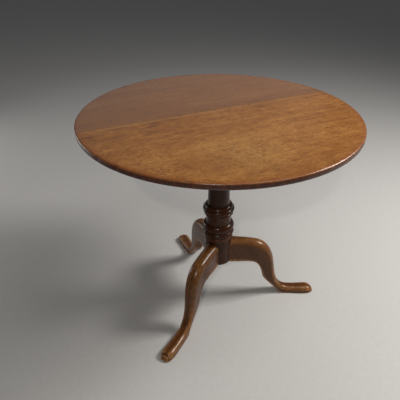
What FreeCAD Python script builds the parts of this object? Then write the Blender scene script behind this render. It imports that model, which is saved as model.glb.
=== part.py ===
import FreeCAD, Part
import math
import os

import Sketcher

# Tilt top table: a round two-board top on two bearers that swings on a pivot block at the
# head of a turned column with three cabriole legs, and is held down by a brass snap catch.
# Lengths are in millimetres. +Z is up, the floor is Z = 0 and the column stands on the origin.
# The pivot axis and the grain of the top run along X; the single rear leg points near +Y.

doc = FreeCAD.newDocument("tilt_top_table")
sheet = doc.addObject("Spreadsheet::Sheet", "Dimensions")

DIMENSIONS = {
    # round top, two glued boards
    "table_height": 728,
    "top_radius": 425,
    "top_thick": 18.5,
    "top_upper_round": 5,
    "top_lower_round": 6,
    "board_joint_offset": 32,
    # pivot block and its two integral pins
    "block_half_width": 110,
    "block_front_reach": 110,
    "block_depth": 40,
    "block_seat_gap": 0.3,
    "block_edge_chamfer": 3,
    "pivot_setback": 100,
    "pivot_drop": 20,
    "pivot_stop_gap": 0.5,
    "pin_radius": 9,
    "pin_length": 42,
    "pin_clearance": 0.06,
    # bearers under the top
    "bearer_gap": 0.5,
    "bearer_width": 46,
    "bearer_depth": 40,
    "bearer_half_length": 350,
    "bearer_end_depth": 15,
    "bearer_taper_length": 150,
    # turned column
    "drum_base_level": 167,
    "drum_radius": 49,
    "drum_edge_chamfer": 2,
    "collar_radius": 51,
    "collar_level": 268,
    "collar_top_level": 284.5,
    "quirk_radius": 49,
    "quirk_top_level": 287,
    "ring_seat_radius": 51,
    "ring_top_level": 302.5,
    "ring_curve": 10,
    "lower_fillet_radius": 50,
    "lower_fillet_top_level": 307.5,
    "bulge_base_radius": 51,
    "bulge_top_radius": 45,
    "bulge_top_level": 334,
    "bulge_curve": 17.5,
    "neck_fillet_radius": 43.8,
    "neck_base_level": 337,
    "neck_top_radius": 47,
    "neck_top_level": 369,
    "neck_curve": 90,
    "lip_radius": 49,
    "lip_top_level": 377,
    "lip_curve": 4.8,
    "upper_quirk_radius": 48.8,
    "torus_base_radius": 50.5,
    "torus_base_level": 379.5,
    "torus_top_radius": 49,
    "torus_top_level": 396,
    "torus_curve": 9.6,
    "shoulder_radius": 41.5,
    "shoulder_level": 407,
    "shoulder_curve": 14,
    "shaft_fillet_radius": 38.8,
    "shaft_base_level": 410,
    "shaft_foot_radius": 37.4,
    "shaft_foot_level": 417,
    "shaft_foot_curve": 14,
    "shaft_head_radius": 31.5,
    "shaft_head_level": 626,
    "bead_seat_radius": 32.5,
    "bead_top_level": 637,
    "bead_curve": 6,
    "flare_base_radius": 32,
    "flare_base_level": 639,
    "flare_curve": 30,
    "capital_radius": 44,
    "capital_level": 660,
    "tenon_radius": 23,
    "tenon_short": 0.4,
    # wedge in the head of the tenon
    "wedge_depth": 30,
    "wedge_head_thick": 5,
    "wedge_toe_thick": 1.6,
    # sliding dovetails that hold the legs
    "dovetail_height": 76,
    "dovetail_inner_reach": 36,
    "dovetail_outer_reach": 54,
    "dovetail_inner_half_width": 13,
    "dovetail_outer_half_width": 8.2,
    "joint_clearance": 0.08,
    # iron brace let in under the legs
    "brace_thick": 3,
    "brace_hub_radius": 38,
    "brace_arm_reach": 96,
    "brace_arm_half_width": 13,
    "brace_inner_screw_reach": 24,
    "brace_outer_screw_reach": 92,
    "brace_screw_radius": 2.2,
    "brace_screw_length": 20,
    # screws that hold the bearers
    "bearer_screw_radius": 2.4,
    "bearer_screw_head_radius": 5,
    "bearer_screw_grip": 12,
    "bearer_screw_sink": 13,
    "bearer_end_screw_sink": 3,
    "bearer_screw_spacing": 130,
    # brass catch
    "catch_plate_half_width": 23,
    "catch_plate_start": 117,
    "catch_plate_length": 64,
    "catch_plate_thick": 2,
    "catch_plate_corner": 5,
    "catch_case_half_width": 11,
    "catch_case_start": 120,
    "catch_case_length": 48,
    "catch_case_depth": 13,
    "catch_case_wall": 1.5,
    "bolt_half_width": 6,
    "bolt_thick": 7,
    "bolt_drop": 5,
    "bolt_nose": 104.5,
    "bolt_tail": 150,
    "bolt_bevel": 5,
    "bolt_clearance": 0.1,
    "bolt_travel": 9,
    "knob_position": 138,
    "knob_shank_radius": 2,
    "knob_shank_length": 12,
    "knob_radius": 4.8,
    "spring_radius": 2.6,
    "spring_wire_radius": 0.4,
    "spring_pitch": 2,
    "catch_screw_radius": 1.6,
    "catch_screw_length": 11,
    "catch_screw_inset": 5.5,
    # brass keeper on the end of the block
    "keeper_half_width": 22,
    "keeper_drop": 24,
    "keeper_thick": 2,
    "keeper_corner": 3,
    "keeper_slot_gap": 0.5,
    "keeper_screw_offset": 15.5,
}

# Leg outline, foot to be read last: reach and level of the upper edge, reach and level of the
# lower edge, side to side width, and the rounding of the upper and lower corners.
LEG_STATIONS = (
    (30, 256, 30, 163, 48, 18, 3),
    (78, 254, 78, 163, 47, 20, 3),
    (115, 251, 112, 163, 47, 22, 5),
    (154, 242, 139, 156, 47, 22, 7),
    (184, 217, 155, 135, 46, 21, 10),
    (202, 180, 165, 109, 44, 20, 12),
    (210, 139, 170, 86, 41, 18, 12),
    (216, 100, 181, 66, 38, 15, 12),
    (225, 65, 200, 46, 36, 12, 10),
    (239, 41, 222, 23, 36, 11, 9),
    (261, 28, 251, -5, 38, 13, 8),
    (298, 25, 300, -6, 42, 15, 7),
    (334, 26, 338, -6, 45, 16, 8),
    (352, 24, 360, -3, 40, 13, 9),
    (361, 18, 371, 2, 27, 8, 5),
)
STATION_FIELDS = ("upper_reach", "upper_level", "lower_reach", "lower_level",
                  "width", "upper_round", "lower_round")
for number, station in enumerate(LEG_STATIONS, start=1):
    for field, value in zip(STATION_FIELDS, station):
        DIMENSIONS["leg_station_%d_%s" % (number, field)] = value

for row, (alias, value) in enumerate(DIMENSIONS.items(), start=1):
    sheet.set("A%d" % row, alias)
    sheet.set("B%d" % row, str(value))
    sheet.setAlias("B%d" % row, alias)
doc.recompute()


class Size:
    """A driven length: its present value and the sheet expression that keeps it up to date."""

    def __init__(self, value, text):
        self.value = float(value)
        self.text = text

    def __add__(self, other):
        other = as_size(other)
        return Size(self.value + other.value, "(%s + %s)" % (self.text, other.text))

    def __sub__(self, other):
        other = as_size(other)
        return Size(self.value - other.value, "(%s - %s)" % (self.text, other.text))

    def __mul__(self, factor):
        return Size(self.value * factor, "(%s * %s)" % (self.text, repr(float(factor))))

    def __neg__(self):
        return self * -1


def as_size(amount):
    """Wrap a plain number so that it can be mixed with driven lengths."""
    if isinstance(amount, Size):
        return amount
    return Size(amount, repr(float(amount)))


def dim(alias):
    """The named sheet dimension as a driven length."""
    return Size(sheet.get(alias), "Dimensions." + alias)


def bind(feature, prop, amount):
    """Drive a property of a feature from the sheet."""
    feature.setExpression(prop, as_size(amount).text)


def place(feature, corner, rotation=None):
    """Drive a feature's position from the sheet, with an optional fixed rotation."""
    corner = [as_size(part) for part in corner]
    spot = FreeCAD.Vector(*[part.value for part in corner])
    feature.Placement = FreeCAD.Placement(spot, rotation or FreeCAD.Rotation())
    for letter, part in zip("xyz", corner):
        bind(feature, "Placement.Base." + letter, part)


TURN_TO = {
    "+X": FreeCAD.Rotation(FreeCAD.Vector(0, 1, 0), 90),
    "-X": FreeCAD.Rotation(FreeCAD.Vector(0, 1, 0), -90),
    "+Y": FreeCAD.Rotation(FreeCAD.Vector(1, 0, 0), -90),
    "-Y": FreeCAD.Rotation(FreeCAD.Vector(1, 0, 0), 90),
    "+Z": FreeCAD.Rotation(),
    "-Z": FreeCAD.Rotation(FreeCAD.Vector(1, 0, 0), 180),
}


def box(name, low, high):
    """A block between two opposite corners."""
    feature = doc.addObject("Part::Box", name)
    low = [as_size(part) for part in low]
    high = [as_size(part) for part in high]
    for prop, start, end in zip(("Length", "Width", "Height"), low, high):
        bind(feature, prop, end - start)
    place(feature, low)
    return feature


def rod(name, radius, length, base, direction):
    """A cylinder from its base centre along one of the main directions."""
    feature = doc.addObject("Part::Cylinder", name)
    bind(feature, "Radius", radius)
    bind(feature, "Height", length)
    place(feature, base, TURN_TO[direction])
    return feature


def taper(name, base_radius, end_radius, length, base, direction):
    """A cone frustum from its base centre along one of the main directions."""
    feature = doc.addObject("Part::Cone", name)
    bind(feature, "Radius1", base_radius)
    bind(feature, "Radius2", end_radius)
    bind(feature, "Height", length)
    place(feature, base, TURN_TO[direction])
    return feature


def union(name, members):
    """Several solids fused into one."""
    feature = doc.addObject("Part::MultiFuse", name)
    feature.Shapes = members
    feature.Refine = True
    return feature


def group(name, members):
    """Several loose solids kept as one node."""
    feature = doc.addObject("Part::Compound", name)
    feature.Links = members
    return feature


def cut(name, base, tool):
    """One solid with another taken out of it."""
    feature = doc.addObject("Part::Cut", name)
    feature.Base = base
    feature.Tool = tool
    return feature


def common(name, base, tool):
    """The part of one solid that lies inside another."""
    feature = doc.addObject("Part::Common", name)
    feature.Base = base
    feature.Tool = tool
    return feature


def new_body(name):
    """An empty body."""
    return doc.addObject("PartDesign::Body", name)


def attach_sketch(body, name, plane, depth=0, slope=0):
    """A sketch on one of the body's origin planes, moved along and tipped about its own axes."""
    sketch = body.newObject("Sketcher::SketchObject", name)
    support = [item for item in body.Origin.OriginFeatures if item.Role == plane][0]
    sketch.AttachmentSupport = [(support, "")]
    sketch.MapMode = "FlatFace"
    depth = as_size(depth)
    tip = FreeCAD.Rotation(FreeCAD.Vector(1, 0, 0), slope)
    sketch.AttachmentOffset = FreeCAD.Placement(FreeCAD.Vector(0, 0, depth.value), tip)
    bind(sketch, "AttachmentOffset.Base.z", depth)
    return sketch


def fix_point(sketch, geometry, end, spot):
    """Tie a sketch point to two driven coordinates measured from the origin."""
    for kind, part in zip(("DistanceX", "DistanceY"), spot):
        part = as_size(part)
        index = sketch.addConstraint(Sketcher.Constraint(kind, -1, 1, geometry, end, part.value))
        bind(sketch, "Constraints[%d]" % index, part)


def arc_through(start, end, radius, side):
    """Arc between two points; side is +1 when it bulges to the left of the chord, else -1."""
    half = (end - start) * 0.5
    across = FreeCAD.Vector(-half.y, half.x, 0).normalize()
    rise = math.sqrt(radius * radius - half.Length * half.Length)
    middle = start + half - across * (side * rise)
    crown = middle + across * (side * radius)
    return Part.Arc(start, crown, end)


def profile_sketch(sketch, points):
    """Closed outline. Each point is (x, y) reached by a line, or (x, y, radius, side) by an arc."""
    spots = [(as_size(point[0]), as_size(point[1])) for point in points]
    vectors = [FreeCAD.Vector(spot[0].value, spot[1].value, 0) for spot in spots]
    total = len(points)
    for index in range(total):
        following = (index + 1) % total
        target = points[following]
        if len(target) == 2:
            edge = Part.LineSegment(vectors[index], vectors[following])
            sketch.addGeometry(edge, False)
        else:
            radius = as_size(target[2])
            edge = arc_through(vectors[index], vectors[following], radius.value, target[3])
            sketch.addGeometry(edge, False)
    ends = []
    for index in range(total):
        following = (index + 1) % total
        start = sketch.getPoint(index, 1)
        reversed_edge = (start - vectors[index]).Length > (start - vectors[following]).Length
        ends.append((2, 1) if reversed_edge else (1, 2))
    for index in range(total):
        following = (index + 1) % total
        sketch.addConstraint(
            Sketcher.Constraint("Coincident", index, ends[index][1], following, ends[following][0]))
        fix_point(sketch, index, ends[index][0], spots[index])
        target = points[following]
        if len(target) == 4:
            radius = as_size(target[2])
            number = sketch.addConstraint(Sketcher.Constraint("Radius", index, radius.value))
            bind(sketch, "Constraints[%d]" % number, radius)


def rounded_rectangle(sketch, low, high, lower_round, upper_round):
    """Rectangle with its two lower and its two upper corners rounded."""
    low = [as_size(part) for part in low]
    high = [as_size(part) for part in high]
    lower_round = as_size(lower_round)
    upper_round = as_size(upper_round)
    x0, y0 = low[0].value, low[1].value
    x1, y1 = high[0].value, high[1].value
    corners = (
        (x1, y0, -1, 1, lower_round, -90),
        (x1, y1, -1, -1, upper_round, 0),
        (x0, y1, 1, -1, upper_round, 90),
        (x0, y0, 1, 1, lower_round, 180),
    )
    arcs = []
    for x, y, inward_x, inward_y, round_size, start in corners:
        size = round_size.value
        middle = FreeCAD.Vector(x + inward_x * size, y + inward_y * size, 0)
        circle = Part.Circle(middle, FreeCAD.Vector(0, 0, 1), size)
        arcs.append(Part.ArcOfCircle(circle, math.radians(start), math.radians(start + 90)))
    for index in range(4):
        following = arcs[(index + 1) % 4]
        sketch.addGeometry(arcs[index], False)
        sketch.addGeometry(Part.LineSegment(arcs[index].EndPoint, following.StartPoint), False)
    for index in range(4):
        arc = 2 * index
        line = arc + 1
        sketch.addConstraint(Sketcher.Constraint("Tangent", arc, 2, line, 1))
        sketch.addConstraint(Sketcher.Constraint("Tangent", line, 2, (line + 1) % 8, 1))
        kind = "Horizontal" if index % 2 else "Vertical"
        sketch.addConstraint(Sketcher.Constraint(kind, line))
    sketch.addConstraint(Sketcher.Constraint("Equal", 0, 6))
    sketch.addConstraint(Sketcher.Constraint("Equal", 2, 4))
    driven = (
        (Sketcher.Constraint("Radius", 0, lower_round.value), lower_round),
        (Sketcher.Constraint("Radius", 2, upper_round.value), upper_round),
        (Sketcher.Constraint("DistanceX", -1, 1, 1, 1, x1), high[0]),
        (Sketcher.Constraint("DistanceY", -1, 1, 3, 1, y1), high[1]),
        (Sketcher.Constraint("DistanceX", -1, 1, 5, 1, x0), low[0]),
        (Sketcher.Constraint("DistanceY", -1, 1, 7, 1, y0), low[1]),
    )
    for constraint, amount in driven:
        index = sketch.addConstraint(constraint)
        bind(sketch, "Constraints[%d]" % index, amount)


def pad(body, sketch, name, length):
    """Sketch thickened along its own normal."""
    feature = body.newObject("PartDesign::Pad", name)
    feature.Profile = sketch
    bind(feature, "Length", length)
    return feature


def turn(body, sketch, name):
    """Sketch turned once round the vertical axis."""
    feature = body.newObject("PartDesign::Revolution", name)
    feature.Profile = sketch
    feature.ReferenceAxis = (sketch, ["V_Axis"])
    feature.Angle = 360
    return feature


def screw(name, radius, head_radius, length, base, direction, slot_axis):
    """Countersunk slotted screw. base is the centre of its head's face, direction its point."""
    base = [as_size(part) for part in base]
    sign = 1 if direction[0] == "+" else -1
    letter = "XYZ".index(direction[1])
    head_height = (head_radius - radius) * 1.0
    shank_base = list(base)
    shank_base[letter] = base[letter] + head_height * sign
    head = taper(name + "_head", head_radius, radius, head_height, base, direction)
    shank = rod(name + "_shank", radius, length - head_height, shank_base, direction)
    solid = union(name + "_solid", [head, shank])
    low = [part - head_radius * 1.1 for part in base]
    high = [part + head_radius * 1.1 for part in base]
    low[slot_axis] = base[slot_axis] - radius * 0.25
    high[slot_axis] = base[slot_axis] + radius * 0.25
    low[letter] = base[letter] - head_height * 0.4
    high[letter] = base[letter] + head_height * 0.4
    return cut(name, solid, box(name + "_slot", low, high))


def screw_hole(name, radius, head_radius, length, base, direction):
    """The countersunk hole for a screw, a little larger than the screw all round."""
    gap = dim("joint_clearance")
    base = [as_size(part) for part in base]
    sign = 1 if direction[0] == "+" else -1
    letter = "XYZ".index(direction[1])
    head_height = (head_radius - radius) * 1.0
    outer = list(base)
    outer[letter] = base[letter] - gap * (2 * sign)
    sink = taper(name + "_sink", head_radius + gap * 3, radius + gap, head_height + gap * 2,
                 outer, direction)
    bore = rod(name + "_bore", radius + gap, length + gap * 3, outer, direction)
    return union(name, [sink, bore])


def label(feature, name):
    """Give a finished sub-part its node name."""
    feature.Label = name
    nodes[name] = feature


nodes = {}

table_height = dim("table_height")
top_under = table_height - dim("top_thick")
pivot_level = top_under - dim("pivot_drop")
pivot_y = -dim("pivot_setback")
block_top = top_under - dim("block_seat_gap")
block_base = top_under - dim("block_depth") - dim("block_seat_gap")
gap = dim("joint_clearance")

# ---------------------------------------------------------------- screw positions
bearer_inner = dim("block_half_width") + dim("bearer_gap")
bearer_middle = bearer_inner + dim("bearer_width") * 0.5
bearer_base = top_under - dim("bearer_depth")
bearer_screw_steps = (-2.2, -1.35, 0.15, 1.35, 2.2)
bearer_screw_tip = top_under + dim("bearer_screw_grip")


def bearer_screw_base(side, step):
    """Centre of a bearer screw's head, sunk less where the ends of the bearer are shallower."""
    along = dim("bearer_screw_spacing") * step
    level = bearer_base + dim("bearer_screw_sink")
    run = dim("bearer_half_length") - dim("bearer_taper_length")
    if abs(along.value) > run.value:
        share = (abs(along.value) - run.value) / dim("bearer_taper_length").value
        lost = (dim("bearer_depth") - dim("bearer_end_depth")) * share
        level = bearer_base + lost + dim("bearer_end_screw_sink")
    return (bearer_middle * side, along, level)


catch_plate_end = dim("catch_plate_start") + dim("catch_plate_length")
catch_screw_spots = []
for side in (-1, 1):
    across = (dim("catch_plate_half_width") - dim("catch_screw_inset")) * side
    for along in (dim("catch_plate_start") + dim("catch_screw_inset"),
                  catch_plate_end - dim("catch_screw_inset")):
        catch_screw_spots.append((across, along, top_under - dim("catch_plate_thick")))
catch_head_radius = dim("catch_screw_radius") + 1.5

# ---------------------------------------------------------------- round top
top_body = new_body("round_top")
rim_sketch = attach_sketch(top_body, "rim_outline", "XZ_Plane")
profile_sketch(rim_sketch, [
    (0, top_under),
    (dim("top_radius") - dim("top_lower_round"), top_under),
    (dim("top_radius"), top_under + dim("top_lower_round"), dim("top_lower_round") * 1.001, -1),
    (dim("top_radius"), table_height - dim("top_upper_round")),
    (dim("top_radius") - dim("top_upper_round"), table_height, dim("top_upper_round") * 1.001, -1),
    (0, table_height),
])
turn(top_body, rim_sketch, "rim_turning")

pilot_holes = []
for side, side_name in ((-1, "left"), (1, "right")):
    for number, step in enumerate(bearer_screw_steps, start=1):
        base = bearer_screw_base(side, step)
        pilot_holes.append(rod("pilot_%s_%d" % (side_name, number),
                               dim("bearer_screw_radius") + gap,
                               bearer_screw_tip - base[2] + gap * 3, base, "+Z"))
for number, spot in enumerate(catch_screw_spots, start=1):
    pilot_holes.append(rod("catch_pilot_%d" % number, dim("catch_screw_radius") + gap,
                           dim("catch_screw_length") + gap * 3, spot, "+Z"))
drilled_top = cut("drilled_top", top_body, union("pilot_holes", pilot_holes))
reach = dim("top_radius") + 10
front_half = box("front_half", (-reach, -reach, top_under - 10),
                 (reach, dim("board_joint_offset"), table_height + 10))
label(common("front_board", drilled_top, front_half), "top_board_front")
rear_half = box("rear_half", (-reach, dim("board_joint_offset"), top_under - 10),
                (reach, reach, table_height + 10))
label(common("rear_board", drilled_top, rear_half), "top_board_rear")

# ---------------------------------------------------------------- bearers and their screws
for side, side_name in ((-1, "left"), (1, "right")):
    bearer_body = new_body("bearer_blank_" + side_name)
    inner = bearer_inner if side > 0 else -(bearer_inner + dim("bearer_width"))
    side_sketch = attach_sketch(bearer_body, "bearer_outline_" + side_name, "YZ_Plane", inner)
    half_length = dim("bearer_half_length")
    run = half_length - dim("bearer_taper_length")
    end_level = top_under - dim("bearer_end_depth")
    profile_sketch(side_sketch, [
        (-half_length, top_under),
        (-half_length, end_level),
        (-run, bearer_base),
        (run, bearer_base),
        (half_length, end_level),
        (half_length, top_under),
    ])
    pad(bearer_body, side_sketch, "bearer_pad_" + side_name, dim("bearer_width"))
    openings = [rod("pin_hole_" + side_name, dim("pin_radius") + dim("pin_clearance"),
                    dim("bearer_width") + 2, (inner - 1, pivot_y, pivot_level), "+X")]
    screws = []
    for number, step in enumerate(bearer_screw_steps, start=1):
        base = bearer_screw_base(side, step)
        stem = "bearer_screw_%s_%d" % (side_name, number)
        length = bearer_screw_tip - base[2]
        openings.append(screw_hole(stem + "_hole", dim("bearer_screw_radius"),
                                   dim("bearer_screw_head_radius"), length, base, "+Z"))
        entry = (base[0], base[1], bearer_base - 1)
        openings.append(rod(stem + "_entry", dim("bearer_screw_head_radius") + 0.8,
                            base[2] - bearer_base + 1.2, entry, "+Z"))
        screws.append(screw(stem, dim("bearer_screw_radius"), dim("bearer_screw_head_radius"),
                            length, base, "+Z", number % 2))
    label(cut("bearer_cut_" + side_name, bearer_body,
              union("bearer_openings_" + side_name, openings)), "bearer_" + side_name)
    label(group("bearer_screw_group_" + side_name, screws), "bearer_screws_" + side_name)

# ---------------------------------------------------------------- keeper on the block's end
keeper_face = dim("block_front_reach")
keeper_top = block_top - 0.5
keeper_base = keeper_top - dim("keeper_drop")
bolt_top = top_under - dim("bolt_drop")
bolt_base = bolt_top - dim("bolt_thick")
slot_low = bolt_base - dim("keeper_slot_gap")
slot_high = bolt_top + dim("keeper_slot_gap")
slot_half = dim("bolt_half_width") + dim("keeper_slot_gap")
keeper_body = new_body("keeper_blank")
keeper_sketch = attach_sketch(keeper_body, "keeper_outline", "XZ_Plane",
                              -(keeper_face + dim("keeper_thick")))
rounded_rectangle(keeper_sketch, (-dim("keeper_half_width"), keeper_base),
                  (dim("keeper_half_width"), keeper_top),
                  dim("keeper_corner"), dim("keeper_corner"))
pad(keeper_body, keeper_sketch, "keeper_pad", dim("keeper_thick"))
keeper_outer = keeper_face + dim("keeper_thick")
keeper_mouth = box("keeper_mouth", (-slot_half, keeper_face - 1, slot_low),
                   (slot_half, keeper_outer + 1, slot_high))
keeper_screw_level = (slot_low + slot_high) * 0.5
keeper_holes = [keeper_mouth]
block_screw_holes = []
keeper_screws = []
for side, side_name in ((-1, "left"), (1, "right")):
    spot = (dim("keeper_screw_offset") * side, keeper_outer, keeper_screw_level)
    for owner, stem in ((keeper_holes, "keeper_hole_"), (block_screw_holes, "block_hole_")):
        owner.append(screw_hole(stem + side_name, dim("catch_screw_radius"), catch_head_radius,
                                dim("catch_screw_length"), spot, "-Y"))
    keeper_screws.append(screw("keeper_screw_" + side_name, dim("catch_screw_radius"),
                               catch_head_radius, dim("catch_screw_length"), spot, "-Y", 2))
label(cut("keeper_cut", keeper_body, union("keeper_openings", keeper_holes)), "keeper_plate")
label(group("keeper_screw_group", keeper_screws), "keeper_screws")

# ---------------------------------------------------------------- pivot block
half_width = dim("block_half_width")
tail_reach = dim("pivot_drop") - dim("pivot_stop_gap")
block_members = [
    box("block_main", (-half_width, pivot_y, block_base),
        (half_width, dim("block_front_reach"), block_top)),
    box("block_tail", (-half_width, pivot_y - tail_reach, block_base),
        (half_width, pivot_y, pivot_level)),
    rod("block_round", tail_reach, half_width * 2, (-half_width, pivot_y, pivot_level), "+X"),
    rod("block_pins", dim("pin_radius"), (half_width + dim("pin_length")) * 2,
        (-(half_width + dim("pin_length")), pivot_y, pivot_level), "+X"),
]
bolt_mortise = box("bolt_mortise", (-slot_half, dim("bolt_nose") - 2, slot_low),
                   (slot_half, keeper_face + 1, slot_high))
tenon_hole = rod("tenon_hole", dim("tenon_radius") + gap, dim("block_depth") + 2,
                 (0, 0, block_base - 1), "+Z")
chamfer = dim("block_edge_chamfer")
edge_cuts = []
for side, side_name in ((-1, "left"), (1, "right")):
    strip = box("block_edge_" + side_name, (0, 0, 0),
                (dim("block_depth") * 8, chamfer * 1.4142, chamfer * 1.4142))
    place(strip, (half_width * side, -(dim("block_depth") * 4), block_base - chamfer),
          FreeCAD.Rotation(FreeCAD.Vector(1, 1, 1), 120).multiply(
              FreeCAD.Rotation(FreeCAD.Vector(1, 0, 0), 45)))
    edge_cuts.append(strip)
label(cut("block_cut", union("block_solid", block_members),
          union("block_openings", [bolt_mortise, tenon_hole] + block_screw_holes + edge_cuts)),
      "pivot_block")

# ---------------------------------------------------------------- column
column_body = new_body("column_turning")
column_sketch = attach_sketch(column_body, "column_outline", "XZ_Plane")
tenon_top = block_top - dim("tenon_short")
drum_base = dim("drum_base_level")
profile_sketch(column_sketch, [
    (0, drum_base),
    (dim("drum_radius") - dim("drum_edge_chamfer"), drum_base),
    (dim("drum_radius"), drum_base + dim("drum_edge_chamfer")),
    (dim("drum_radius"), dim("collar_level")),
    (dim("collar_radius"), dim("collar_level")),
    (dim("collar_radius"), dim("collar_top_level")),
    (dim("quirk_radius"), dim("collar_top_level")),
    (dim("quirk_radius"), dim("quirk_top_level")),
    (dim("ring_seat_radius"), dim("quirk_top_level")),
    (dim("ring_seat_radius"), dim("ring_top_level"), dim("ring_curve"), -1),
    (dim("lower_fillet_radius"), dim("ring_top_level")),
    (dim("lower_fillet_radius"), dim("lower_fillet_top_level")),
    (dim("bulge_base_radius"), dim("lower_fillet_top_level")),
    (dim("bulge_top_radius"), dim("bulge_top_level"), dim("bulge_curve"), -1),
    (dim("neck_fillet_radius"), dim("bulge_top_level")),
    (dim("neck_fillet_radius"), dim("neck_base_level")),
    (dim("neck_top_radius"), dim("neck_top_level"), dim("neck_curve"), 1),
    (dim("lip_radius"), dim("neck_top_level")),
    (dim("lip_radius"), dim("lip_top_level"), dim("lip_curve"), -1),
    (dim("upper_quirk_radius"), dim("lip_top_level")),
    (dim("upper_quirk_radius"), dim("torus_base_level")),
    (dim("torus_base_radius"), dim("torus_base_level")),
    (dim("torus_top_radius"), dim("torus_top_level"), dim("torus_curve"), -1),
    (dim("shoulder_radius"), dim("shoulder_level"), dim("shoulder_curve"), -1),
    (dim("shaft_fillet_radius"), dim("shoulder_level")),
    (dim("shaft_fillet_radius"), dim("shaft_base_level")),
    (dim("shaft_foot_radius"), dim("shaft_foot_level"), dim("shaft_foot_curve"), 1),
    (dim("shaft_head_radius"), dim("shaft_head_level")),
    (dim("bead_seat_radius"), dim("shaft_head_level")),
    (dim("bead_seat_radius"), dim("bead_top_level"), dim("bead_curve"), -1),
    (dim("flare_base_radius"), dim("bead_top_level")),
    (dim("flare_base_radius"), dim("flare_base_level")),
    (dim("capital_radius"), dim("capital_level"), dim("flare_curve"), 1),
    (dim("capital_radius"), block_base),
    (dim("tenon_radius"), block_base),
    (dim("tenon_radius"), tenon_top),
    (0, tenon_top),
])
turn(column_body, column_sketch, "column_revolution")


def wedge_shape(name, length_gap, side_gap):
    """Wedge lying along X in the head of the tenon, grown by the given gaps."""
    feature = doc.addObject("Part::Wedge", name)
    head = dim("wedge_head_thick") * 0.5 + side_gap
    toe = dim("wedge_toe_thick") * 0.5 + side_gap
    reach = dim("tenon_radius") + length_gap
    limits = (
        ("Xmin", -head), ("Xmax", head), ("X2min", -toe), ("X2max", toe),
        ("Zmin", -reach), ("Zmax", reach), ("Z2min", -reach), ("Z2max", reach),
        ("Ymin", as_size(0)), ("Ymax", dim("wedge_depth") + side_gap),
    )
    for prop, amount in limits:
        setattr(feature, prop, amount.value)
        bind(feature, prop, amount)
    turned = FreeCAD.Rotation(FreeCAD.Vector(0, 1, 0), FreeCAD.Vector(0, 0, -1),
                              FreeCAD.Vector(-1, 0, 0), "ZXY")
    place(feature, (0, 0, tenon_top), turned)
    return feature


def dovetail_shape(name, azimuth, side_gap, height_gap):
    """Dovetail tail along a leg, wider towards the column's axis, grown by the given gaps."""
    feature = doc.addObject("Part::Wedge", name)
    inner = dim("dovetail_inner_half_width") + side_gap
    outer = dim("dovetail_outer_half_width") + side_gap
    height = dim("dovetail_height") + height_gap
    limits = (
        ("Xmin", -inner), ("Xmax", inner), ("X2min", -outer), ("X2max", outer),
        ("Zmin", as_size(0)), ("Zmax", height), ("Z2min", as_size(0)), ("Z2max", height),
        ("Ymin", dim("dovetail_inner_reach") - side_gap), ("Ymax", dim("dovetail_outer_reach")),
    )
    for prop, amount in limits:
        setattr(feature, prop, amount.value)
        bind(feature, prop, amount)
    turned = FreeCAD.Rotation(FreeCAD.Vector(0, 0, 1), azimuth - 90)
    place(feature, (0, 0, drum_base), turned)
    return feature


# azimuths of the legs, set out by hand and turned a few degrees from the square of the top
LEGS = (("rear", 89), ("left", 215), ("right", 334))


def brace_screw_spot(reach, azimuth):
    """Head centre of a brace screw on the underside of the brace."""
    angle = math.radians(azimuth)
    return (reach * math.cos(angle), reach * math.sin(angle), drum_base - dim("brace_thick"))


brace_head_radius = dim("brace_screw_radius") + 2
column_openings = [wedge_shape("wedge_kerf", 1, gap)]
for leg_name, azimuth in LEGS:
    column_openings.append(dovetail_shape("dovetail_housing_" + leg_name, azimuth, gap, gap))
    spot = brace_screw_spot(dim("brace_inner_screw_reach"), azimuth)
    column_openings.append(rod("drum_pilot_" + leg_name, dim("brace_screw_radius") + gap,
                               dim("brace_screw_length") + gap * 3, spot, "+Z"))
label(cut("column_cut", column_body, union("column_openings", column_openings)), "column")

wedge_limit = rod("wedge_limit", dim("tenon_radius") - gap, dim("wedge_depth") + 5,
                  (0, 0, tenon_top - dim("wedge_depth") - 1), "+Z")
label(common("wedge_trim", wedge_shape("wedge_blank", 0, as_size(0)), wedge_limit),
      "tenon_wedge")


# ---------------------------------------------------------------- legs
def leg_loft(name):
    """The carved leg along +X, before it is scribed to the drum and its sole is made flat."""
    body = new_body("leg_carving_" + name)
    sections = []
    for number in range(1, len(LEG_STATIONS) + 1):
        stem = "leg_station_%d_" % number
        upper = (dim(stem + "upper_reach"), dim(stem + "upper_level"))
        lower = (dim(stem + "lower_reach"), dim(stem + "lower_level"))
        lean = upper[0] - lower[0]
        rise = upper[1] - lower[1]
        slope = math.degrees(math.atan2(lean.value, rise.value))
        sketch = attach_sketch(body, "leg_section_%s_%d" % (name, number), "YZ_Plane",
                               (upper[0] + lower[0]) * 0.5, slope)
        middle = (upper[1] + lower[1]) * 0.5
        bind(sketch, "AttachmentOffset.Base.y", middle)
        depth = Size(math.hypot(lean.value, rise.value),
                     "sqrt(%s ^ 2 + %s ^ 2)" % (lean.text, rise.text))
        half = dim(stem + "width") * 0.5
        rounded_rectangle(sketch, (-half, depth * -0.5), (half, depth * 0.5),
                          dim(stem + "lower_round"), dim(stem + "upper_round"))
        sections.append(sketch)
    loft = body.newObject("PartDesign::AdditiveLoft", "leg_loft_" + name)
    loft.Profile = sections[0]
    loft.Sections = sections[1:]
    return body


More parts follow.
